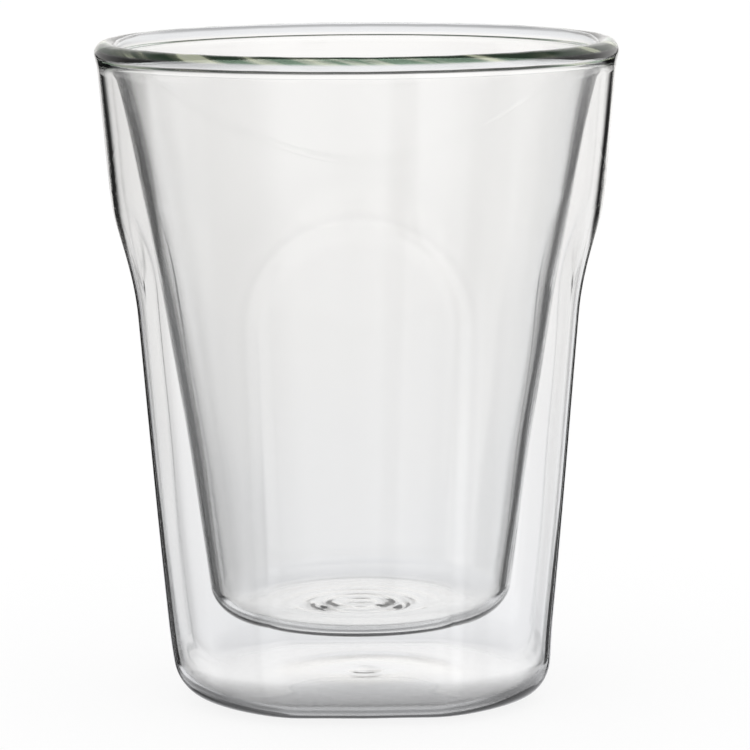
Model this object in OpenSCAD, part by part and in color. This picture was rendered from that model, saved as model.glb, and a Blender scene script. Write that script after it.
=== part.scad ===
// Double walled glass cup.
// A smooth round cup hangs inside an outer glass with four arch-topped flats.
// Both glasses are fused into one bead at the rim, and the air between them is sealed:
// the vent in the outer base, through which the glass was worked, is closed by a glass dot.

/* [Cup] */
// Height from the table to the top of the rim
cup_h = 107; // [100:1:115]
// Outer diameter of the rim
rim_d = 85; // [82:0.5:90]

/* [Rim] */
// Diameter of the rounded rim bead
rim_bead_d = 3.8; // [3.4:0.1:4.2]
// How far the bead stands out past the outer wall
rim_lip = 0.4; // [0.2:0.1:0.6]
// Height of the fused band, from the top of both walls to the top of the rim
weld_h = 3.7; // [3.5:0.1:4.2]
// Width of the air gap where the walls meet the fused band
mouth_gap = 1.4; // [1.1:0.1:1.8]
// How far the top of the air gap reaches up into the fused band
gap_roof_h = 1.6; // [1.2:0.1:1.8]

/* [Outer glass] */
// Wall thickness of the outer glass
shell_wall = 1.1; // [0.9:0.1:1.4]
// Thickness of its base
shell_base = 1.6; // [1.2:0.1:2]
// Diameter that its cone would have at the table, without flats and foot rounding
shell_foot_d = 67; // [64:0.5:70]
// Radius of the rounding between wall and base
shell_foot_r = 6.8; // [5:0.2:8]

/* [Arched flats] */
// Number of flats around the cup
flat_count = 4; // [3:1:5]
// Depth of a flat below the round cone, at its middle
flat_depth = 2.6; // [1.6:0.1:3]
// Width of a flat where its arch springs
flat_w = 32.4; // [26:0.2:36]
// Width of a flat at the table
flat_foot_w = 29; // [24:0.5:32]
// Height at which the arch springs
arch_spring_h = 64.4; // [55:0.2:73]
// Rise of the arch above the spring
arch_rise = 16.4; // [12:0.2:20]
// Height over which the flat bends out into the slope under its arch
arch_knee = 1.2; // [0.8:0.1:3]

/* [Inner glass] */
// Wall thickness of the inner glass
liner_wall = 1.4; // [1.1:0.1:1.7]
// Thickness of its floor
liner_base = 1.6; // [1.3:0.1:2]
// Height of the cup's inside floor above the table
liner_floor_h = 14; // [12:0.5:18]
// Inside diameter that the wall would have at the floor, without the corner rounding
liner_floor_d = 46.4; // [43:0.2:49]
// How far the wall bows in from a straight cone, halfway up
liner_bow = 0.9; // [0.5:0.1:1.3]
// Inside radius of the rounding between wall and floor
liner_corner_r = 3.6; // [2.8:0.2:5]

/* [Base] */
// Diameter of the hollow under the base
punt_d = 40; // [34:1:44]
// Depth of that hollow
punt_h = 1.2; // [1:0.1:1.5]
// Diameter of the level middle of the hollow
punt_top_d = 12; // [10:0.5:16]
// Diameter of the vent through the base
vent_d = 4; // [3:0.5:5]
// Diameter of the glass dot that closes the vent, under the base
pip_d = 7; // [6:0.5:8]
// How far the dot stands down from the base
pip_h = 0.4; // [0.3:0.1:0.8]
// How far the dot's crown rises into the air gap
pip_crown_h = 0.4; // [0.3:0.1:1]

/* [Hidden] */
$fn = 96;
overrun = 1;

// How late a flat rises towards its edge: 1 is a straight slope, more keeps it level for longer
side_fullness = 2.7;
arch_fullness = 1.1;
// Softness of a flat's edge as a share of its depth, and how much more it is at the table
edge_soft_share = 0.14;
foot_soft_share = 0.36;
// Height up to which the edges of the flats are softer
foot_soft_h = 40;
// The columns of points follow a flat's outline until it is this share of its width
crown_limit_share = 0.25;

// Where the columns of points stand across a flat and across half of the corner beside it
flat_column_shares = [0.3, 0.55, 0.75, 0.9, 1];
corner_column_shares = [0.12, 0.3, 0.6, 1];
// Where the rows of points stand up the flat, up the arch and up the cone above it
flat_row_shares = [0.35, 0.7, 0.93, 1];
arch_row_shares = [0.1, 0.22, 0.36, 0.5, 0.64, 0.76, 0.86, 0.93, 0.98, 1.04];
cone_row_shares = [0.12, 0.5, 1];

foot_steps = 6;
wall_steps = 14;
corner_steps = 7;
bead_steps = 20;
gap_steps = 10;
punt_steps = 6;
pip_steps = 6;

seam_z = cup_h - weld_h;
bead_r = rim_bead_d / 2;
bead_at = [rim_d / 2 - bead_r, cup_h - bead_r];

shell_mouth_r = rim_d / 2 - rim_lip;
shell_mouth_in_r = shell_mouth_r - shell_wall;
liner_mouth_out_r = shell_mouth_in_r - mouth_gap;
liner_mouth_in_r = liner_mouth_out_r - liner_wall;
liner_bottom_z = liner_floor_h - liner_base;

half_sector = 180 / flat_count;

GLASS = [0.86, 0.92, 0.92, 0.45];
RIM_GLASS = [0.45, 0.58, 0.48, 0.8];
PIP_GLASS = [0.7, 0.8, 0.8, 0.8];

// Positive part of x with a soft corner of the given width
function soft_positive(x, softness) = (x + sqrt(x * x + softness * softness)) / 2;

// How far a rounding of radius r draws the wall in, at height h above its floor
function rounding(h, r) = h < r ? r - sqrt(r * r - (r - h) * (r - h)) : 0;

// Heights along a rounding, evenly spaced along its arc
function rounding_heights(r, steps) = [for (i = [0:steps]) r * (1 - cos(90 * i / steps))];

// Radius of the outer cone at height z
function cone_r(z) = shell_foot_d / 2 + (shell_mouth_r - shell_foot_d / 2) * z / seam_z;

// Half the width of a flat's straight part at height z
function flat_half_w(z) =
    (flat_foot_w + (flat_w - flat_foot_w) * min(z / arch_spring_h, 1)) / 2;

// Share of the arch's rise reached at height z, with the knee softened
function arch_share(z) = soft_positive((z - arch_spring_h) / arch_rise, arch_knee / arch_rise);

// Softness of a flat's edge at height z
function edge_softness(z) =
    edge_soft_share + foot_soft_share * pow(max(1 - z / foot_soft_h, 0), 2);

// Depth of the flats at angle a from the middle of a flat, and at height z.
// The outline of a flat is two straight sides under half an ellipse.
function flat_relief(a, z) =
    let (across = abs(cone_r(z) * sin(a)) / flat_half_w(z),
         out = norm([across, arch_share(z)]),
         fullness = arch_fullness + (side_fullness - arch_fullness) * pow(across / out, 2))
    flat_depth * soft_positive(1 - pow(out, fullness), edge_softness(z));

// Angle from the middle of a flat to its edge at height z
function edge_angle(z) =
    let (open_share = sqrt(max(1 - pow(arch_share(z), 2), pow(crown_limit_share, 2))))
    asin(flat_half_w(z) * open_share / cone_r(z));

// Angles of the points across half a sector: over the flat, then over the corner beside it
function half_columns(z) =
    let (edge = edge_angle(z))
    concat([for (s = flat_column_shares) edge * s],
           [for (s = corner_column_shares) edge + (half_sector - edge) * s]);

// Angles of the points across a whole sector, each shared edge once
function sector_columns(z) =
    let (half = half_columns(z), n = len(half))
    concat([for (i = [n - 2:-1:0]) -half[i]], [0], half);

// Heights of the rows between the foot rounding and the top
function wall_rows(start_z, top_z) =
    let (crown_z = arch_spring_h + arch_rise * max(arch_row_shares))
    concat([for (s = flat_row_shares) start_z + (arch_spring_h - start_z) * s],
           [for (s = arch_row_shares) arch_spring_h + arch_rise * s],
           [for (s = cone_row_shares) crown_z + (top_z - crown_z) * s]);

// One row of points around the outer glass, set in from its face by inset
function shell_row(z, floor_z, foot_r, inset) =
    [for (k = [0:flat_count - 1], a = sector_columns(z))
        let (r = cone_r(z) - flat_relief(a, z) - inset - rounding(z - floor_z, foot_r),
             around = 2 * half_sector * k + a)
        [r * sin(around), -r * cos(around), z]];

// Closed solid with the form of the outer glass, its floor at floor_z and its face set in by inset
module shell_form(floor_z, top_z, foot_r, inset) {
    foot_rows = [for (h = rounding_heights(foot_r, foot_steps)) floor_z + h];
    rows = concat(foot_rows, wall_rows(floor_z + foot_r, top_z));
    rings = [for (z = rows) shell_row(z, floor_z, foot_r, inset)];
    n = len(rings[0]);
    last = len(rings) - 1;
    sides = [for (i = [0:last - 1], j = [0:n - 1])
        let (a = i * n + j, b = i * n + (j + 1) % n)
        each [[a, a + n, b + n], [a, b + n, b]]];
    polyhedron(
        points = [for (ring = rings) each ring],
        faces = concat([[for (j = [0:n - 1]) j]], sides, [[for (j = [n - 1:-1:0]) last * n + j]]));
}

// Inside radius of the inner glass at height z: a cone that bows in halfway up
function liner_r(z) =
    let (t = (z - liner_floor_h) / (seam_z - liner_floor_h))
    liner_floor_d / 2 + (liner_mouth_in_r - liner_floor_d / 2) * t - 4 * liner_bow * t * (1 - t);

// Half section of the inner glass's wall, from its floor at floor_z up to the fused band
function liner_face(floor_z, corner_r, outset) =
    let (start_z = floor_z + corner_r,
         heights = concat([for (h = rounding_heights(corner_r, corner_steps)) floor_z + h],
                          [for (i = [1:wall_steps]) start_z + (seam_z - start_z) * i / wall_steps]))
    [for (z = heights) [liner_r(z) + outset - rounding(z - floor_z, corner_r), z]];

// Direction from one point to another
function heading(from, to) = atan2(to[1] - from[1], to[0] - from[0]);

// Points along an arc
function arc(centre, r, start, end, steps) =
    [for (i = [0:steps])
        let (a = start + (end - start) * i / steps)
        centre + r * [cos(a), sin(a)]];

// Point where a line from p touches a circle, on its left (side = 1) or right (side = -1)
function touch_point(p, centre, r, side) =
    let (d = centre - p,
         reach = sqrt(norm(d) * norm(d) - r * r),
         a = heading(p, centre) + side * asin(r / norm(d)))
    p + reach * [cos(a), sin(a)];

// Half section of the hollow under the base: level in the middle, bent down to the standing ring
module punt_section(below) {
    top_r = punt_top_d / 2;
    ring_r = punt_d / 2;
    slope = [for (i = [0:punt_steps])
        let (s = i / punt_steps)
        [top_r + (ring_r - top_r) * s, punt_h * (1 - s * s)]];
    polygon(concat([[0, -below], [0, punt_h]], slope, below > 0 ? [[ring_r, -below]] : []));
}

// Blown outer glass: a cone with arched flats, a rounded foot, a hollow base and the vent
module outer_shell() {
    color(GLASS)
    difference() {
        union() {
            difference() {
                shell_form(0, seam_z, shell_foot_r, 0);
                shell_form(shell_base, seam_z + overrun, shell_foot_r - shell_wall, shell_wall);
            }
            translate([0, 0, shell_base]) rotate_extrude() punt_section(shell_base / 2);
        }
        rotate_extrude() punt_section(overrun);
        translate([0, 0, -overrun])
            cylinder(d = vent_d, h = punt_h + shell_base + 2 * overrun);
    }
}

// Round inner glass that holds the drink
module inner_liner() {
    color(GLASS)
    rotate_extrude() difference() {
        polygon(concat([[0, liner_bottom_z]],
                       liner_face(liner_bottom_z, liner_corner_r + liner_wall, liner_wall),
                       [[0, seam_z]]));
        polygon(concat([[0, liner_floor_h]],
                       liner_face(liner_floor_h, liner_corner_r, 0),
                       [[0, seam_z]]));
    }
}

// Fused rim: a bead that runs down into both walls over the top of the air gap
module rim_weld() {
    inner_touch = touch_point([liner_mouth_in_r, seam_z], bead_at, bead_r, 1);
    outer_touch = touch_point([shell_mouth_r, seam_z], bead_at, bead_r, -1);
    gap_middle_r = liner_mouth_out_r + mouth_gap / 2;
    roof = [for (i = [0:gap_steps])
        let (a = 180 * i / gap_steps)
        [gap_middle_r + mouth_gap / 2 * cos(a), seam_z + gap_roof_h * sin(a)]];
    color(RIM_GLASS)
    rotate_extrude() polygon(concat(
        [[liner_mouth_in_r, seam_z]],
        arc(bead_at, bead_r, heading(bead_at, inner_touch), heading(bead_at, outer_touch), bead_steps),
        [[shell_mouth_r, seam_z]],
        roof));
}

// Glass dot melted over the vent, clear of the table inside the hollow of the base
module seal_pip() {
    dot_r = pip_d / 2;
    neck_r = vent_d / 2;
    neck_top_z = punt_h + shell_base;
    dot = [for (i = [0:pip_steps])
        let (a = 90 * i / pip_steps)
        [dot_r * sin(a), punt_h - pip_h * cos(a)]];
    crown = [for (i = [0:pip_steps])
        let (a = 90 * i / pip_steps)
        [neck_r * cos(a), neck_top_z + pip_crown_h * sin(a)]];
    color(PIP_GLASS)
    rotate_extrude() polygon(concat(dot, [[neck_r, punt_h]], crown));
}

outer_shell();
inner_liner();
rim_weld();
seal_pip();
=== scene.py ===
"""Double walled glass cup: one fused body of clear glass round a sealed air gap, on a pale floor."""

import math

import bpy
import numpy as np
from mathutils import Matrix, Vector


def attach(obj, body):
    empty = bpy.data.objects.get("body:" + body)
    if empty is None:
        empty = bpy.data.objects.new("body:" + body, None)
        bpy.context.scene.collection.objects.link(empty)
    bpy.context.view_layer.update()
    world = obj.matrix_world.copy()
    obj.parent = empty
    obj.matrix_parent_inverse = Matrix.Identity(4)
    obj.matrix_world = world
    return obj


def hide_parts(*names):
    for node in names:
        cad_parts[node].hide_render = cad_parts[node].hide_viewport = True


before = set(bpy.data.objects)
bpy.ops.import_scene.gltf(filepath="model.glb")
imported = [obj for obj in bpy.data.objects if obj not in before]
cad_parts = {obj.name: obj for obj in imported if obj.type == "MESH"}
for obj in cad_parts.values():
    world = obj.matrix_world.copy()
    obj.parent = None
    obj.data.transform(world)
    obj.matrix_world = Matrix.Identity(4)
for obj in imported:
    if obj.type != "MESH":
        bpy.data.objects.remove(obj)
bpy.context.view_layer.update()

MM = 0.001

# Sizes of the cup in millimetres, as in the CAD model
CUP_H = 107.0
RIM_D = 85.0
RIM_BEAD_D = 3.8
RIM_LIP = 0.4
WELD_H = 3.7
MOUTH_GAP = 1.4
GAP_ROOF_H = 1.6
SHELL_WALL = 1.1
SHELL_BASE = 1.6
SHELL_FOOT_D = 67.0
SHELL_FOOT_R = 6.8
FLAT_COUNT = 4
FLAT_DEPTH = 2.6
FLAT_W = 32.4
FLAT_FOOT_W = 29.0
ARCH_SPRING_H = 64.4
ARCH_RISE = 16.4
ARCH_KNEE = 1.2
SIDE_FULLNESS = 2.7
ARCH_FULLNESS = 1.1
EDGE_SOFT_SHARE = 0.14
FOOT_SOFT_SHARE = 0.36
FOOT_SOFT_H = 40.0
LINER_WALL = 1.4
LINER_BASE = 1.6
LINER_FLOOR_H = 14.0
LINER_FLOOR_D = 46.4
LINER_BOW = 0.9
LINER_CORNER_R = 3.6
PUNT_D = 40.0
PUNT_H = 1.2
PUNT_TOP_D = 12.0
VENT_D = 4.0
PIP_D = 7.0
PIP_H = 0.4
PIP_CROWN_H = 0.12

SEAM_Z = CUP_H - WELD_H
CROWN_Z = ARCH_SPRING_H + ARCH_RISE
BEAD_R = RIM_BEAD_D / 2
BEAD_AT = np.array([RIM_D / 2 - BEAD_R, CUP_H - BEAD_R])
SHELL_MOUTH_R = RIM_D / 2 - RIM_LIP
LINER_MOUTH_OUT_R = SHELL_MOUTH_R - SHELL_WALL - MOUTH_GAP
LINER_MOUTH_IN_R = LINER_MOUTH_OUT_R - LINER_WALL

# Where this one cup departs from the CAD model's sizes, in millimetres.
# The walls are uneven: how much, from what height up, and over what height that fades at foot and rim.
# Each wave: its share, waves round the cup, millimetres of height for each radian, and how often it
# takes the phase, which is the inset on the outer glass and this much more than the outset on the inner
WAVER = 0.010
WAVER_FROM_H = 8.0
WAVER_FADE_H = 12.0
WALL_WAVES = [(1.0, 3, 7.0, 1), (0.6, 5, -4.3, 2), (0.4, 2, 11.0, 3)]
LINER_PHASE = 4
# The rim's bead is uneven: how much, and for each wave its share, waves round the rim, waves round the
# bead, and phase
BEAD_WAVES = 0.018
RIM_WAVES = [(1.0, 23, 2, 0.0), (0.6, 41, -3, 1.3), (0.5, 9, 1, 2.1)]
# The inner glass is slimmer: by how much, what share of that at its floor, and how suddenly it ends at
# the seam
LINER_SLIM = 0.5
LINER_SLIM_FLOOR_SHARE = 0.4
LINER_SLIM_POWER = 12
# The foot drifts to one side: how far, and below what height
FOOT_DRIFT = 0.8
FOOT_DRIFT_H = 14.0
# The sealing dot stands less high: the share of its height
PIP_SHOWN_SHARE = 0.5
# Rings in the inner floor: depth, spacing and reach, and their depth on its underside as a share
RIPPLE_DEPTH = 0.035
RIPPLE_STEP = 3.4
RIPPLE_REACH = 12.0
RIPPLE_UNDER_SHARE = 0.5
# Two spots where the rings are deeper: where they are, by how much, and their width and length
SPOTS = [(-6.0, -4.6), (5.5, -2.3)]
SPOT_DEPTH = 0.3
SPOT_W = 2.2
SPOT_L = 4.5

# Columns of points across half a sector: over the flat and over the corner beside it, how much each lot
# crowds towards the edge between them, and the least share of the flat's width for its lot
FLAT_COLUMNS = 20
CORNER_COLUMNS = 12
FLAT_CROWDING = 1.35
CORNER_CROWDING = 1.25
CROWN_LIMIT_SHARE = 0.12
# Rows of points up the outer glass: over the foot's rounding, up to this far below the arch's spring,
# up to the spring, over the arch, up to this share of its rise, and up to the seam
FOOT_ROWS = 14
WALL_ROWS = 30
SPRING_BELOW = 4.0
SPRING_ROWS = 6
ARCH_ROWS = 40
PAST_CROWN_SHARE = 1.15
PAST_CROWN_ROWS = 10
UPPER_ROWS = 16
# Rows of points elsewhere
CORNER_ROWS = 16
LINER_ROWS = 60
BEAD_ROWS = 28
ROOF_ROWS = 20
PIP_ROWS = 14
VENT_ROWS = 10
HOLLOW_ROWS = 22
FLOOR_ROWS = 80

WHITE = (1, 1, 1, 1)
# The glass: how strongly it bends light, its colour in the depth, and how fast that shows
GLASS_IOR = 1.47
DEPTH_COLOUR = (0.50, 0.60, 0.47, 1)
DEPTH_DENSITY = 8.0

# The mesh's record of how far out a point is on the front flat, and its value away from that flat
OUTLINE = "outline"
FAR_OUT = 3.0
# Light and shade painted into the outer glass by that distance, 1 on the flat's outline: the flat a little
# grey, a clear band round the outline as a painted highlight, and a grey line just outside it as painted
# shade.
# Its clearness well inside it, and then for each step where it starts, where it ends, and the clearness after
# it
LINE_INSIDE = 0.955
LINE_STEPS = [(0.78, 0.96, 1.0), (1.05, 1.11, 0.92), (1.12, 1.19, 0.95), (1.26, 1.86, 1.0)]

# The green of the rim: from where to where it begins above the bead's middle and out past it
RIM_ABOVE = (0.5, 1.0)
RIM_OUT = (-0.6, 0.2)
# Its streaks' turn in radians for each millimetre of height, their stretch, fineness and detail
STREAK_TWIST = 0.09
STREAK_LENGTH_SHARE = 0.15
STREAK_SCALE = 170.0
STREAK_DETAIL = 2.0
# Its colours by the noise's value, the glass's own green and pale streaks that are painted highlights,
# and how clear the glass stays there, between the streaks and in them
RIM_COLOURS = [(0.47, (0.13, 0.24, 0.14, 1)), (0.57, (0.36, 0.46, 0.34, 1)), (0.66, (0.88, 0.93, 0.68, 1))]
RIM_CLEARNESS = (0.86, 0.58)

# Painted shade on the front of the foot: how clear it is where it is darkest, the heights over which it
# darkens and over which it clears again, and how far in front of the axis it has its full depth
FOOT_DARK = 0.42
FOOT_DARK_SPAN = (0.4, 1.2)
FOOT_CLEAR_SPAN = (1.7, 8.0)
FOOT_FORWARD = 20.0

# The studio's light: from the left, from the right, and its share between them, with the sideways part
# of the direction over which that share ends
LEFT_LIGHT = 0.34
RIGHT_LIGHT = 0.72
BETWEEN_SHARE = 1.35
BETWEEN_SPAN = (0.6, 0.85)
# Light from far below, from less far below and from far above, and the elevations over which each
# changes to the next: far to less far below, less far below to the sides, the sides to far above
UNDER_LIGHT = 0.95
LOW_LIGHT = 0.45
HIGH_LIGHT = 0.12
UNDER_SPAN = (-54.0, -44.0)
LOW_SPAN = (-48.0, -14.0)
HIGH_SPAN = (30.0, 42.0)
# The whites of the light from below and from above, and the elevations between them
COOL_WHITE = (0.990, 0.995, 1.016, 1)
WARM_WHITE = (1.012, 0.999, 0.987, 1)
WHITE_SPAN = (-14.0, -6.0)
# A lit ring round the camera: its light, the direction of its middle, from how many degrees away to how
# many, and how soft each of these edges is
RING_LIGHT = 0.8
RING_AZIMUTH = -90
RING_ELEVATION = -18
RING_SPAN = (12, 40)
RING_SOFTNESS = (5.0, 8.0)
# A panel's light at its foot and at its head, and its shares at the left edge, low down on the left and
# high up, each with the degrees over which it sets in
FACE_LOW = 0.90
FACE_HIGH = 1.08
FACE_LEFT_SHARE = 0.84
FACE_LEFT_FROM = -6.0
FACE_LOW_LEFT_SHARE = 0.75
FACE_LOW_LEFT_SPAN = (3.0, 10.0)
FACE_LOW_SPAN = (-13.0, -7.0)
FACE_TOP_SHARE = 0.8
FACE_TOP_SPAN = (20.0, 28.0)
# Half a panel's width, how far it reaches below its cards, and how soft its edges are in height and width
PANEL_HALF_WIDTH = 17
PANEL_BELOW = 7
PANEL_SOFTNESS = (5.0, 5.0)
PANEL_WIDTH_SOFTNESS = (1.5, 1.5)
# A card leans out with each degree below the panel's middle and this many above it. How soft its edges
# are in height, and at its start and end
CARD_LEAN_FROM = 2.0
CARD_SOFTNESS = (3.0, 3.0)
CARD_WIDTH_SOFTNESS = (1.5, 3.0)
# Each panel: azimuth and elevation of its middle, half its cards' height, the elevation of its top, the
# light left on its cards, and the cards to its right and left: start and end, each followed by its lean
# for each degree of height. All in degrees
SIDE_CARD = (18, 0, 30, 0)
PANELS = [
    dict(azimuth=315, middle=-15, half_height=14, top=-1, card_light=0.3, cards=(SIDE_CARD, SIDE_CARD)),
    dict(azimuth=180, middle=-3, half_height=9, top=6, card_light=0.25, cards=(SIDE_CARD, SIDE_CARD)),
    dict(azimuth=135, middle=-27, half_height=11, top=-16, card_light=0.25, cards=(SIDE_CARD, SIDE_CARD)),
    dict(azimuth=90, middle=-8, half_height=15, top=32, card_light=0.02,
         cards=((16.5, 0.9, 26, 2.3), (16.5, 0.35, 27, 2.6))),
]

# The floor: its radius and depth below the foot in metres, its sides, and the whites of its lit part and
# of its own light
FLOOR_RADIUS = 6.0
FLOOR_DROP = 0.00005
FLOOR_SIDES = 64
FLOOR_LIT = (0.15, 0.15, 0.15, 1)
FLOOR_OWN = (0.86, 0.86, 0.86, 1)

# The camera: focal length in pixels of a picture this many pixels wide, distance and height in
# millimetres, how far it looks down, leans and looks to the side, and its sensor's width in millimetres
IMAGE_PX = 750
FOCAL_PX = 3950
CAMERA_OUT = 641
CAMERA_UP = 151.5
PITCH_DEG = 8.84
ROLL_DEG = -0.4
PAN_DEG = -0.235
SENSOR_W = 36.0
# Where its view starts and ends, in metres
CLIP_START = 0.01
CLIP_END = 50


def soft_positive(x, softness):
    """Positive part of x with a soft corner of the given width."""
    return (x + np.sqrt(x * x + softness * softness)) / 2


def rounding(h, r):
    """How far a rounding of radius r draws the wall in, at height h above its floor."""
    return r - math.sqrt(r * r - (r - h) ** 2) if h < r else 0.0


def cone_r(z):
    """Radius of the outer glass without its flats and its foot's rounding."""
    return SHELL_FOOT_D / 2 + (SHELL_MOUTH_R - SHELL_FOOT_D / 2) * z / SEAM_Z


def flat_half_w(z):
    """Half the width of a flat below its arch."""
    return (FLAT_FOOT_W + (FLAT_W - FLAT_FOOT_W) * np.minimum(z / ARCH_SPRING_H, 1)) / 2


def arch_share(z):
    """Height above the arch's spring as a share of its rise, 0 below it."""
    return soft_positive((z - ARCH_SPRING_H) / ARCH_RISE, ARCH_KNEE / ARCH_RISE)


def edge_softness(z):
    """How soft a flat's edge is, softer towards the foot."""
    return EDGE_SOFT_SHARE + FOOT_SOFT_SHARE * max(1 - z / FOOT_SOFT_H, 0) ** 2


def flat_out(a, z):
    """How far out a point is on a flat: 0 along its middle, 1 on its outline. Also the share across."""
    across = np.abs(cone_r(z) * np.sin(a)) / flat_half_w(z)
    return np.hypot(across, arch_share(z)), across


def flat_relief(a, z):
    """Depth of the flats at angle a from the middle of a flat, and at height z."""
    out, across = flat_out(a, z)
    fullness = ARCH_FULLNESS + (SIDE_FULLNESS - ARCH_FULLNESS) * (across / out) ** 2
    return FLAT_DEPTH * soft_positive(1 - out**fullness, edge_softness(z))


def columns(z):
    """Angles of a row's points, and each one's angle from the middle of its flat. The points follow the
    flat's edge, and are spread evenly at the seam."""
    half_sector = math.pi / FLAT_COUNT
    all_columns = FLAT_COLUMNS + CORNER_COLUMNS
    evenness = np.clip((z - CROWN_Z) / (SEAM_Z - CROWN_Z), 0, 1)
    evenness = evenness**2 * (3 - 2 * evenness)
    open_share = math.sqrt(max(1 - arch_share(z) ** 2, CROWN_LIMIT_SHARE**2))
    edge = math.asin(flat_half_w(z) * open_share / cone_r(z))
    edge += (half_sector * FLAT_COLUMNS / all_columns - edge) * evenness
    over_flat = edge * (1 - (1 - np.arange(1, FLAT_COLUMNS + 1) / FLAT_COLUMNS) ** FLAT_CROWDING)
    corner_shares = (np.arange(1, CORNER_COLUMNS + 1) / CORNER_COLUMNS) ** CORNER_CROWDING
    over_corner = edge + (half_sector - edge) * corner_shares
    half = np.concatenate([over_flat, over_corner])
    half += (half_sector * np.arange(1, all_columns + 1) / all_columns - half) * evenness
    sector = np.concatenate([-half[-2::-1], [0], half])
    middles = 2 * half_sector * np.arange(FLAT_COUNT)
    return (middles[:, None] + sector).ravel(), np.tile(sector, FLAT_COUNT)


def rounding_rows(floor_z, r, steps):
    """Heights of the rows over a rounding of radius r."""
    return [floor_z + r * (1 - math.cos(math.pi / 2 * i / steps)) for i in range(steps + 1)]


def spaced(start, end, steps):
    """Values after start up to end."""
    return [start + (end - start) * i / steps for i in range(1, steps + 1)]


def around_rim():
    """Angles of the points of a round row, from the front."""
    return columns(SEAM_Z)[0]


def ring(r, z):
    """A round row of points; r and z are numbers, or arrays with a value for each point."""
    around = around_rim()
    r = np.broadcast_to(r, around.shape)
    z = np.broadcast_to(z, around.shape)
    return np.stack([r * np.sin(around), -r * np.cos(around), z], 1)


def waver(around, z, phase):
    """Slight unevenness of blown glass at angle around and height z, fading towards foot and rim. Each
    face has its own phase."""
    fade = np.clip((z - WAVER_FROM_H) / WAVER_FADE_H, 0, 1) * np.clip((SEAM_Z - z) / WAVER_FADE_H, 0, 1)
    waves = sum(share * np.sin(count * around + z / climb + times * phase)
                for share, count, climb, times in WALL_WAVES)
    return WAVER * fade * waves


def shell_ring(z, floor_z, foot_r, inset):
    """A row round the outer glass, with its flats."""
    around, a = columns(z)
    r = cone_r(z) - flat_relief(a, z) - inset - rounding(z - floor_z, foot_r)
    r = r + waver(around, z, inset)
    return np.stack([r * np.sin(around), -r * np.cos(around), np.full_like(around, z)], 1)


def shell_rows(floor_z, foot_r, inset):
    """The outer glass's face from its foot up to the fused band."""
    below_spring = ARCH_SPRING_H - SPRING_BELOW
    past_crown = ARCH_SPRING_H + ARCH_RISE * PAST_CROWN_SHARE
    heights = rounding_rows(floor_z, foot_r, FOOT_ROWS)
    heights += spaced(floor_z + foot_r, below_spring, WALL_ROWS)
    heights += spaced(below_spring, ARCH_SPRING_H, SPRING_ROWS)
    heights += [ARCH_SPRING_H + ARCH_RISE * math.sin(a) for a in spaced(0, math.pi / 2, ARCH_ROWS)]
    heights += spaced(CROWN_Z, past_crown, PAST_CROWN_ROWS)
    heights += spaced(past_crown, SEAM_Z, UPPER_ROWS)
    return [shell_ring(z, floor_z, foot_r, inset) for z in heights]


def liner_r(z):
    """Radius inside the inner glass, which is blown a little slimmer than the model, most below its mouth."""
    t = (z - LINER_FLOOR_H) / (SEAM_Z - LINER_FLOOR_H)
    cone = LINER_FLOOR_D / 2 + (LINER_MOUTH_IN_R - LINER_FLOOR_D / 2) * t
    slim_share = LINER_SLIM_FLOOR_SHARE + (1 - LINER_SLIM_FLOOR_SHARE) * t
    return cone - 4 * LINER_BOW * t * (1 - t) - LINER_SLIM * slim_share * (1 - t**LINER_SLIM_POWER)


def liner_rows(floor_z, corner_r, outset):
    """The inner glass's wall from its floor up to the fused band."""
    rows = []
    for z in rounding_rows(floor_z, corner_r, CORNER_ROWS) + spaced(floor_z + corner_r, SEAM_Z, LINER_ROWS):
        r = liner_r(z) + outset - rounding(z - floor_z, corner_r)
        rows.append(ring(r + waver(around_rim(), z, LINER_PHASE + outset), z))
    return rows


def touch_point(p, centre, r, side):
    """Where a line from p touches a circle, on its left (side = 1) or right (side = -1)."""
    d = centre - p
    reach = math.sqrt(d @ d - r * r)
    a = math.atan2(d[1], d[0]) + side * math.asin(r / math.sqrt(d @ d))
    return p + reach * np.array([math.cos(a), math.sin(a)])


def heading(start, end):
    """The angle at which end lies from start."""
    return math.atan2(end[1] - start[1], end[0] - start[0])


def bead_waves(a):
    """Slight diagonal waves that the flame leaves on the rim's bead, at angle a round the bead."""
    around = around_rim()
    return BEAD_WAVES * sum(share * np.sin(count * around + turns * a + phase)
                            for share, count, turns, phase in RIM_WAVES)


def bead_rows():
    """The rim's bead, from the outer wall over the top to the inner wall."""
    outer = touch_point(np.array([SHELL_MOUTH_R, SEAM_Z]), BEAD_AT, BEAD_R, -1)
    inner = touch_point(np.array([LINER_MOUTH_IN_R, SEAM_Z]), BEAD_AT, BEAD_R, 1)
    start, end = heading(BEAD_AT, outer), heading(BEAD_AT, inner)
    rows = []
    for a in [start] + spaced(start, end, BEAD_ROWS):
        r = BEAD_R + bead_waves(a) * math.sin(math.pi * (a - start) / (end - start))
        rows.append(ring(BEAD_AT[0] + r * math.cos(a), BEAD_AT[1] + r * math.sin(a)))
    return rows


def punt_z(r):
    """Height of the hollow under the base at radius r."""
    s = np.clip((r - PUNT_TOP_D / 2) / (PUNT_D / 2 - PUNT_TOP_D / 2), 0, 1)
    return PUNT_H * (1 + math.cos(math.pi * s)) / 2


def dot_share(r, d):
    """Height share of a melted dot of diameter d at radius r, level at its middle and its edge."""
    return (1 + math.cos(2 * math.pi * r / d)) / 2


def floor_ripple(r):
    """Slight rings that the melt leaves in the inner floor, deeper at two spots."""
    around = around_rim()
    x, y = r * np.sin(around), -r * np.cos(around)
    depth = RIPPLE_DEPTH + sum(
        SPOT_DEPTH * np.exp(-((x - spot_x) / SPOT_W) ** 2 - ((y - spot_y) / SPOT_L) ** 2)
        for spot_x, spot_y in SPOTS)
    return depth * np.cos(2 * math.pi * r / RIPPLE_STEP) * np.exp(-((r / RIPPLE_REACH) ** 2))


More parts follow.
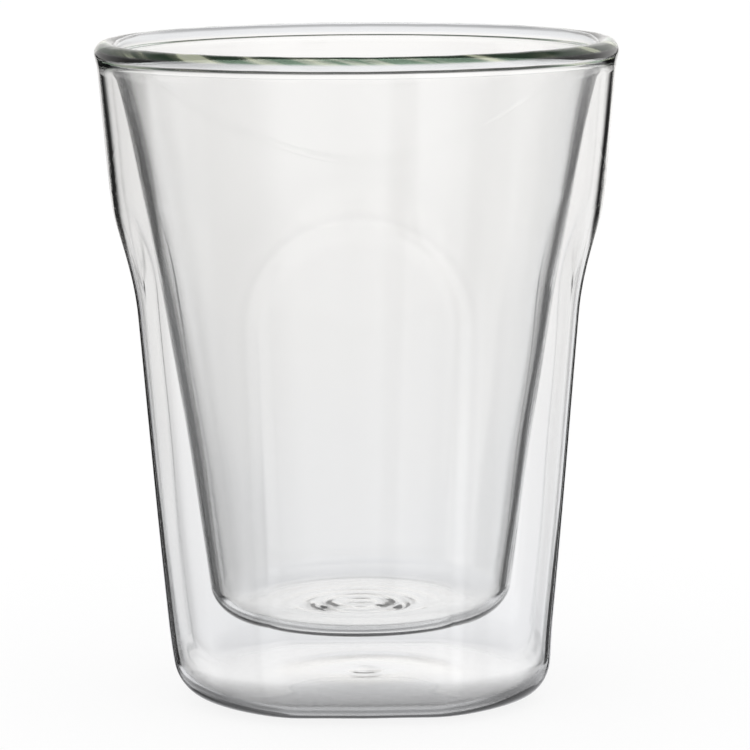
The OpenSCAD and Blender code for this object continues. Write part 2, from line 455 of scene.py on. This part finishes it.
def base_rows():
    """The underside, from near its centre out to the foot rounding: dot, hollow, standing ring."""
    pip_h = PIP_SHOWN_SHARE * PIP_H
    dot = [(r, punt_z(r) - pip_h * dot_share(r, PIP_D)) for r in spaced(0, PIP_D / 2, PIP_ROWS)]
    hollow = [(r, punt_z(r)) for r in spaced(PIP_D / 2, PUNT_D / 2, HOLLOW_ROWS)]
    return [ring(r, z) for r, z in dot + hollow]


def raised_floor_rows():
    """The base's upper face in the air gap, from near its centre out."""
    crown = [(r, punt_z(r) + SHELL_BASE + PIP_CROWN_H * dot_share(r, VENT_D))
             for r in spaced(0, VENT_D / 2, VENT_ROWS)]
    hollow = [(r, punt_z(r) + SHELL_BASE) for r in spaced(VENT_D / 2, PUNT_D / 2, HOLLOW_ROWS)]
    return [ring(r, z) for r, z in crown + hollow]


def floor_rows(floor_z, ripple_share):
    """A face of the inner glass's floor, from near its centre out, with this share of its rings."""
    out_r = liner_r(floor_z) - LINER_CORNER_R
    return [ring(r, floor_z + ripple_share * floor_ripple(r)) for r in spaced(0, out_r, FLOOR_ROWS)]


def roof_rows():
    """The rounded top of the air gap, from the inner glass to the outer glass."""
    middle_r = LINER_MOUTH_OUT_R + MOUTH_GAP / 2
    return [ring(middle_r - MOUTH_GAP / 2 * math.cos(a), SEAM_Z + GAP_ROOF_H * math.sin(a))
            for a in spaced(0, math.pi, ROOF_ROWS)[:-1]]


def add_surface(points, faces, rows, start_pole_z, end_pole_z):
    """Joins rows of points into a closed surface with a pole on the cup's axis at each end."""
    n = len(rows[0])
    first = len(points)
    top = first + 1 + (len(rows) - 1) * n
    last_pole = top + n
    points.append((0, 0, start_pole_z))
    for row in rows:
        points.extend(row)
    points.append((0, 0, end_pole_z))
    for j in range(n):
        k = (j + 1) % n
        faces.append((first, first + 1 + k, first + 1 + j))
        faces.append((last_pole, top + j, top + k))
    for low in range(first + 1, top, n):
        for j in range(n):
            k = (j + 1) % n
            faces.append((low + j, low + k, low + n + k, low + n + j))


def distances_out(points, start, end):
    """Each point's distance out on the front flat, for the points of the outer glass's face, which run
    from start to end."""
    x, y, z = points[start:end].T
    turned = np.arctan2(x, -y)
    out = np.full(len(points), FAR_OUT)
    out[start:end] = np.where(abs(turned) < math.pi / FLAT_COUNT, flat_out(turned, z)[0], FAR_OUT)
    return out


def cup_glass():
    """The whole cup as one mesh: its outside, and the wall of its sealed air gap."""
    points, faces = [], []
    base = base_rows()
    face = shell_rows(0, SHELL_FOOT_R, 0)
    liner_in = liner_rows(LINER_FLOOR_H, LINER_CORNER_R, 0)
    floor_in = floor_rows(LINER_FLOOR_H, 1)
    outside = base + face + bead_rows() + liner_in[::-1] + floor_in[-2::-1]
    add_surface(points, faces, outside, PUNT_H - PIP_SHOWN_SHARE * PIP_H, LINER_FLOOR_H + RIPPLE_DEPTH)

    liner_bottom_z = LINER_FLOOR_H - LINER_BASE
    liner_out = liner_rows(liner_bottom_z, LINER_CORNER_R + LINER_WALL, LINER_WALL)
    floor_under = floor_rows(liner_bottom_z, -RIPPLE_UNDER_SHARE)
    shell_in = shell_rows(SHELL_BASE, SHELL_FOOT_R - SHELL_WALL, SHELL_WALL)
    gap = floor_under[:-1] + liner_out + roof_rows() + shell_in[::-1] + raised_floor_rows()[::-1]
    add_surface(points, faces, gap, liner_bottom_z - RIPPLE_DEPTH, PUNT_H + SHELL_BASE + PIP_CROWN_H)

    points = np.array(points)
    n = len(base[0])
    out = distances_out(points, 1 + len(base) * n, 1 + (len(base) + len(face)) * n)
    points[:, 0] += FOOT_DRIFT * np.clip(1 - points[:, 2] / FOOT_DRIFT_H, 0, 1) ** 2
    mesh = bpy.data.meshes.new("cup_glass")
    mesh.from_pydata((points * MM).tolist(), [], faces)
    mesh.attributes.new(OUTLINE, "FLOAT", "POINT").data.foreach_set("value", out)
    mesh.shade_smooth()
    piece = bpy.data.objects.new("cup_glass", mesh)
    bpy.context.scene.collection.objects.link(piece)
    return piece


def new_tree(owner):
    """Gives a material or a world an empty node tree."""
    owner.use_nodes = True
    owner.node_tree.nodes.clear()
    return owner.node_tree


def add_node(tree, kind, **values):
    """Adds a node; values are its settings, or its inputs where the name is an input's."""
    node = tree.nodes.new(kind)
    for name, value in values.items():
        if hasattr(node, name):
            setattr(node, name, value)
        else:
            node.inputs[name.replace("_", " ")].default_value = value
    return node


def feed(tree, socket, value):
    """Links an output socket to an input socket, or sets the input to a number."""
    if isinstance(value, bpy.types.NodeSocket):
        tree.links.new(value, socket)
    else:
        socket.default_value = value


def maths(tree, operation, *values):
    """A maths node; values are sockets or numbers. Returns its output socket."""
    node = add_node(tree, "ShaderNodeMath", operation=operation)
    for socket, value in zip(node.inputs, values):
        feed(tree, socket, value)
    return node.outputs[0]


def multiply(tree, a, b):
    """The product of two sockets or numbers."""
    return maths(tree, "MULTIPLY", a, b)


def ramp(tree, value, low, high, out_low, out_high, curve="SMOOTHSTEP"):
    """Step of value from out_low to out_high, which are sockets or numbers."""
    node = add_node(tree, "ShaderNodeMapRange", interpolation_type=curve)
    for name, number in (("Value", value), ("From Min", low), ("From Max", high),
                         ("To Min", out_low), ("To Max", out_high)):
        feed(tree, node.inputs[name], number)
    return node.outputs["Result"]


def blend(tree, share, under, over):
    """under where share is 0, over where it is 1."""
    return ramp(tree, share, 0.0, 1.0, under, over, "LINEAR")


def soft_range(tree, value, low, high, low_softness, high_softness):
    """1 where value is from low to high, which are sockets or numbers, and 0 outside, with soft ends."""
    past_low = ramp(tree, maths(tree, "SUBTRACT", value, low), -low_softness, low_softness, 0.0, 1.0)
    past_high = ramp(tree, maths(tree, "SUBTRACT", value, high), -high_softness, high_softness, 1.0, 0.0)
    return multiply(tree, past_low, past_high)


def mix_colours(tree, share, under, over):
    """The colour under where share is 0 and over where it is 1; both are sockets or colours."""
    mix = add_node(tree, "ShaderNodeMix", data_type="RGBA")
    tree.links.new(share, mix.inputs["Factor"])
    for socket, colour in zip([socket for socket in mix.inputs if socket.type == "RGBA"], (under, over)):
        feed(tree, socket, colour)
    return [socket for socket in mix.outputs if socket.type == "RGBA"][0]


def by_ray(tree, straight, bent):
    """One shader for the camera's own rays, and another for those that glass has bent or thrown back."""
    rays = add_node(tree, "ShaderNodeLightPath")
    mix = add_node(tree, "ShaderNodeMixShader")
    share = maths(tree, "MAXIMUM", rays.outputs["Is Glossy Ray"], rays.outputs["Is Transmission Ray"])
    for socket, source in zip(mix.inputs, (share, straight, bent)):
        tree.links.new(source, socket)
    return mix.outputs[0]


def axes(tree, vector):
    """A vector's X, Y and Z."""
    split = add_node(tree, "ShaderNodeSeparateXYZ")
    tree.links.new(vector, split.inputs[0])
    return [split.outputs[axis] for axis in "XYZ"]


def whereabouts(tree, place):
    """Height of a point, its distance from the cup's axis and how far in front of it, in millimetres."""
    x, y, z = (maths(tree, "DIVIDE", part, MM) for part in axes(tree, place))
    reach = maths(tree, "SQRT", maths(tree, "ADD", multiply(tree, x, x), multiply(tree, y, y)))
    return z, reach, multiply(tree, y, -1.0)


def rim_share(tree, height, reach):
    """1 on the outer side of the rim's bead near its top, 0 elsewhere."""
    upper = ramp(tree, height, BEAD_AT[1] + RIM_ABOVE[0], BEAD_AT[1] + RIM_ABOVE[1], 0.0, 1.0)
    outer = ramp(tree, reach, BEAD_AT[0] + RIM_OUT[0], BEAD_AT[0] + RIM_OUT[1], 0.0, 1.0)
    return multiply(tree, upper, outer)


def rim_streaks(tree, place, height):
    """Noise that is drawn out into diagonal streaks round the rim."""
    twist = add_node(tree, "ShaderNodeVectorRotate", rotation_type="Z_AXIS")
    tree.links.new(place, twist.inputs["Vector"])
    tree.links.new(multiply(tree, height, STREAK_TWIST), twist.inputs["Angle"])
    squeeze = add_node(tree, "ShaderNodeVectorMath", operation="MULTIPLY")
    tree.links.new(twist.outputs[0], squeeze.inputs[0])
    squeeze.inputs[1].default_value = (1, 1, STREAK_LENGTH_SHARE)
    streaks = add_node(tree, "ShaderNodeTexNoise", Scale=STREAK_SCALE, Detail=STREAK_DETAIL)
    tree.links.new(squeeze.outputs[0], streaks.inputs["Vector"])
    return streaks.outputs["Fac"]


def rim_green_and_painted_glints(tree, share, streaks):
    """White, and where share is 1 the glass's green with pale streaks of painted highlight."""
    colours = add_node(tree, "ShaderNodeValToRGB")
    low, high = colours.color_ramp.elements
    middle = colours.color_ramp.elements.new(0.5)
    for stop, (position, colour) in zip((low, middle, high), RIM_COLOURS):
        stop.position, stop.color = position, colour
    tree.links.new(streaks, colours.inputs[0])
    return mix_colours(tree, share, WHITE, colours.outputs[0])


def rim_clearness(tree, share, streaks):
    """1, and where share is 1 a little less, so that the rim shows its colour as a lit surface: the glass's
    green, and the pale of the painted highlights in the streaks.
    """
    between, within = RIM_COLOURS[1][0], RIM_COLOURS[2][0]
    return blend(tree, share, 1.0, ramp(tree, streaks, between, within, *RIM_CLEARNESS))


def painted_outline_light_and_shade(tree):
    """Clearness of the outer glass by its distance from the front flat's outline, as painted light and shade:
    a clear band round the outline as a painted highlight, and a faint grey line just outside it as painted
    shade."""
    out = add_node(tree, "ShaderNodeAttribute", attribute_name=OUTLINE).outputs["Fac"]
    clearness = LINE_INSIDE
    for start, end, after in LINE_STEPS:
        clearness = ramp(tree, out, start, end, clearness, after)
    return clearness


def painted_foot_shade(tree, height, forward):
    """Painted shade: a little darker on the front of the foot's rounding, 1 elsewhere."""
    clearing = ramp(tree, height, *FOOT_CLEAR_SPAN, FOOT_DARK, 1.0)
    foot = ramp(tree, height, *FOOT_DARK_SPAN, 1.0, clearing)
    return ramp(tree, forward, 0.0, FOOT_FORWARD, 1.0, foot)


def glass_material():
    """Clear glass with a faint green in its depth, greener on the rim with pale streaks of painted highlight,
    with painted shade on the front of the foot, and painted light and shade along the front flat's outline."""
    material = bpy.data.materials.new("clear_glass")
    tree = new_tree(material)
    place = add_node(tree, "ShaderNodeTexCoord").outputs["Object"]
    height, reach, forward = whereabouts(tree, place)
    share = rim_share(tree, height, reach)
    streaks = rim_streaks(tree, place, height)
    tint = add_node(tree, "ShaderNodeVectorMath", operation="SCALE")
    # The rim's own green, with pale streaks that are painted highlights
    tree.links.new(rim_green_and_painted_glints(tree, share, streaks), tint.inputs[0])
    # Painted shade on the front of the foot, and painted highlight and shade along the front flat's outline
    painted_shading = multiply(tree, painted_outline_light_and_shade(tree), painted_foot_shade(tree, height, forward))
    tree.links.new(painted_shading, tint.inputs["Scale"])
    shader = add_node(tree, "ShaderNodeBsdfPrincipled", Roughness=0.0, IOR=GLASS_IOR)
    tree.links.new(tint.outputs[0], shader.inputs["Base Color"])
    tree.links.new(rim_clearness(tree, share, streaks), shader.inputs["Transmission Weight"])
    depth = add_node(tree, "ShaderNodeVolumeAbsorption", Color=DEPTH_COLOUR, Density=DEPTH_DENSITY)
    output = add_node(tree, "ShaderNodeOutputMaterial")
    tree.links.new(shader.outputs["BSDF"], output.inputs["Surface"])
    tree.links.new(depth.outputs["Volume"], output.inputs["Volume"])
    return material


def sideways_from(tree, east, north, azimuth):
    """Degrees from an azimuth, anticlockwise, seen from above."""
    a = math.radians(azimuth)
    along = maths(tree, "ADD", multiply(tree, east, math.cos(a)), multiply(tree, north, math.sin(a)))
    across = maths(tree, "SUBTRACT", multiply(tree, north, math.cos(a)), multiply(tree, east, math.sin(a)))
    return maths(tree, "DEGREES", maths(tree, "ARCTAN2", across, along))


def panel_face(tree, sideways, elevation, middle, half_height):
    """A panel's light by direction: brighter towards its head, weaker to the left and at the top."""
    face = ramp(tree, elevation, middle - half_height, middle + half_height, FACE_LOW, FACE_HIGH)
    left = ramp(tree, sideways, FACE_LEFT_FROM, PANEL_HALF_WIDTH, 1.0, FACE_LEFT_SHARE)
    top = ramp(tree, elevation, *FACE_TOP_SPAN, 1.0, FACE_TOP_SHARE)
    low_left = ramp(tree, sideways, *FACE_LOW_LEFT_SPAN, 1.0, FACE_LOW_LEFT_SHARE)
    low = ramp(tree, elevation, *FACE_LOW_SPAN, low_left, 1.0)
    for share in (left, top, low):
        face = multiply(tree, face, share)
    return face


def panel_light(tree, east, north, elevation, light, azimuth, middle, half_height, top, card_light, cards):
    """Adds a lit panel with a dark card on each side to the light from each direction."""
    sideways = sideways_from(tree, east, north, azimuth)
    face = panel_face(tree, sideways, elevation, middle, half_height)
    lit_heights = soft_range(tree, elevation, middle - half_height - PANEL_BELOW, top, *PANEL_SOFTNESS)
    lit_width = soft_range(tree, sideways, -PANEL_HALF_WIDTH, PANEL_HALF_WIDTH, *PANEL_WIDTH_SOFTNESS)
    light = blend(tree, multiply(tree, lit_heights, lit_width), light, face)
    card_heights = soft_range(tree, elevation, middle - half_height, middle + half_height, *CARD_SOFTNESS)
    lean = maths(tree, "SUBTRACT", middle + CARD_LEAN_FROM, elevation)
    for side, (start, start_lean, end, end_lean) in zip((-1, 1), cards):
        out = multiply(tree, sideways, side)
        near = maths(tree, "ADD", multiply(tree, lean, start_lean), start)
        far = maths(tree, "ADD", multiply(tree, lean, end_lean), end)
        card = multiply(tree, card_heights, soft_range(tree, out, near, far, *CARD_WIDTH_SOFTNESS))
        light = blend(tree, card, light, card_light)
    return light


def ring_share(tree, direction):
    """1 in a soft ring round the camera, where the table and the room in front of the cup are lit."""
    a, e = math.radians(RING_AZIMUTH), math.radians(RING_ELEVATION)
    towards = add_node(tree, "ShaderNodeVectorMath", operation="DOT_PRODUCT")
    tree.links.new(direction, towards.inputs[0])
    towards.inputs[1].default_value = (math.cos(a) * math.cos(e), math.sin(a) * math.cos(e), math.sin(e))
    away = maths(tree, "DEGREES", maths(tree, "ARCCOSINE", towards.outputs["Value"]))
    return soft_range(tree, away, *RING_SPAN, *RING_SOFTNESS)


def studio_light(tree, direction, east, north, elevation):
    """How strong the light is from each direction."""
    side_light = ramp(tree, east, -1.0, 1.0, LEFT_LIGHT, RIGHT_LIGHT)
    sidewards = maths(tree, "ABSOLUTE", east)
    side_light = multiply(tree, side_light, ramp(tree, sidewards, *BETWEEN_SPAN, BETWEEN_SHARE, 1.0))
    low_light = ramp(tree, elevation, *UNDER_SPAN, UNDER_LIGHT, LOW_LIGHT)
    light = ramp(tree, elevation, *LOW_SPAN, low_light, side_light)
    light = ramp(tree, elevation, *HIGH_SPAN, light, HIGH_LIGHT)
    light = blend(tree, ring_share(tree, direction), light, RING_LIGHT)
    for panel in PANELS:
        light = panel_light(tree, east, north, elevation, light, **panel)
    return light


def studio_world():
    """A white studio. Light that the glass bends sees lit panels between dark cards."""
    world = bpy.data.worlds.new("studio")
    bpy.context.scene.world = world
    tree = new_tree(world)
    direction = add_node(tree, "ShaderNodeTexCoord").outputs["Generated"]
    east, north, up = axes(tree, direction)
    elevation = maths(tree, "DEGREES", maths(tree, "ARCSINE", up))
    plain = add_node(tree, "ShaderNodeBackground", Color=WHITE)
    lit = add_node(tree, "ShaderNodeBackground")
    share = ramp(tree, elevation, *WHITE_SPAN, 0.0, 1.0)
    tree.links.new(mix_colours(tree, share, COOL_WHITE, WARM_WHITE), lit.inputs["Color"])
    tree.links.new(studio_light(tree, direction, east, north, elevation), lit.inputs["Strength"])
    output = add_node(tree, "ShaderNodeOutputWorld")
    tree.links.new(by_ray(tree, plain.outputs[0], lit.outputs[0]), output.inputs["Surface"])


def floor_material():
    """Pale floor: mostly its own white, with enough of it lit to keep a shadow. Glass sees through it."""
    material = bpy.data.materials.new("pale_floor")
    tree = new_tree(material)
    lit = add_node(tree, "ShaderNodeBsdfDiffuse", Color=FLOOR_LIT)
    own = add_node(tree, "ShaderNodeEmission", Color=FLOOR_OWN, Strength=1.0)
    total = add_node(tree, "ShaderNodeAddShader")
    tree.links.new(lit.outputs[0], total.inputs[0])
    tree.links.new(own.outputs[0], total.inputs[1])
    clear = add_node(tree, "ShaderNodeBsdfTransparent")
    output = add_node(tree, "ShaderNodeOutputMaterial")
    tree.links.new(by_ray(tree, total.outputs[0], clear.outputs[0]), output.inputs["Surface"])
    return material


def floor():
    """A round floor that reaches past the camera's view."""
    mesh = bpy.data.meshes.new("floor")
    turns = [2 * math.pi * i / FLOOR_SIDES for i in range(FLOOR_SIDES)]
    rim = [(FLOOR_RADIUS * math.cos(a), FLOOR_RADIUS * math.sin(a), 0) for a in turns]
    mesh.from_pydata(rim, [], [tuple(range(FLOOR_SIDES))])
    plane = bpy.data.objects.new("floor", mesh)
    plane.location.z = -FLOOR_DROP
    bpy.context.scene.collection.objects.link(plane)
    mesh.materials.append(floor_material())


def camera():
    """The photograph's camera: in front of the cup, a little above its rim, looking slightly down."""
    data = bpy.data.cameras.new("camera")
    data.sensor_width = SENSOR_W
    data.lens = SENSOR_W * FOCAL_PX / IMAGE_PX
    data.clip_start = CLIP_START
    data.clip_end = CLIP_END
    holder = bpy.data.objects.new("camera", data)
    turn = (Matrix.Rotation(math.radians(PAN_DEG), 4, "Z")
            @ Matrix.Rotation(math.radians(90 - PITCH_DEG), 4, "X")
            @ Matrix.Rotation(math.radians(ROLL_DEG), 4, "Z"))
    holder.matrix_world = Matrix.Translation(Vector((0, -CAMERA_OUT, CAMERA_UP)) * MM) @ turn
    bpy.context.scene.collection.objects.link(holder)
    bpy.context.scene.camera = holder


camera()
studio_world()
floor()

body = cup_glass()
body.data.materials.append(glass_material())
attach(body, "root")
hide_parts("outer_shell", "inner_liner", "rim_weld", "seal_pip")

bpy.context.scene.view_settings.view_transform = "Standard"
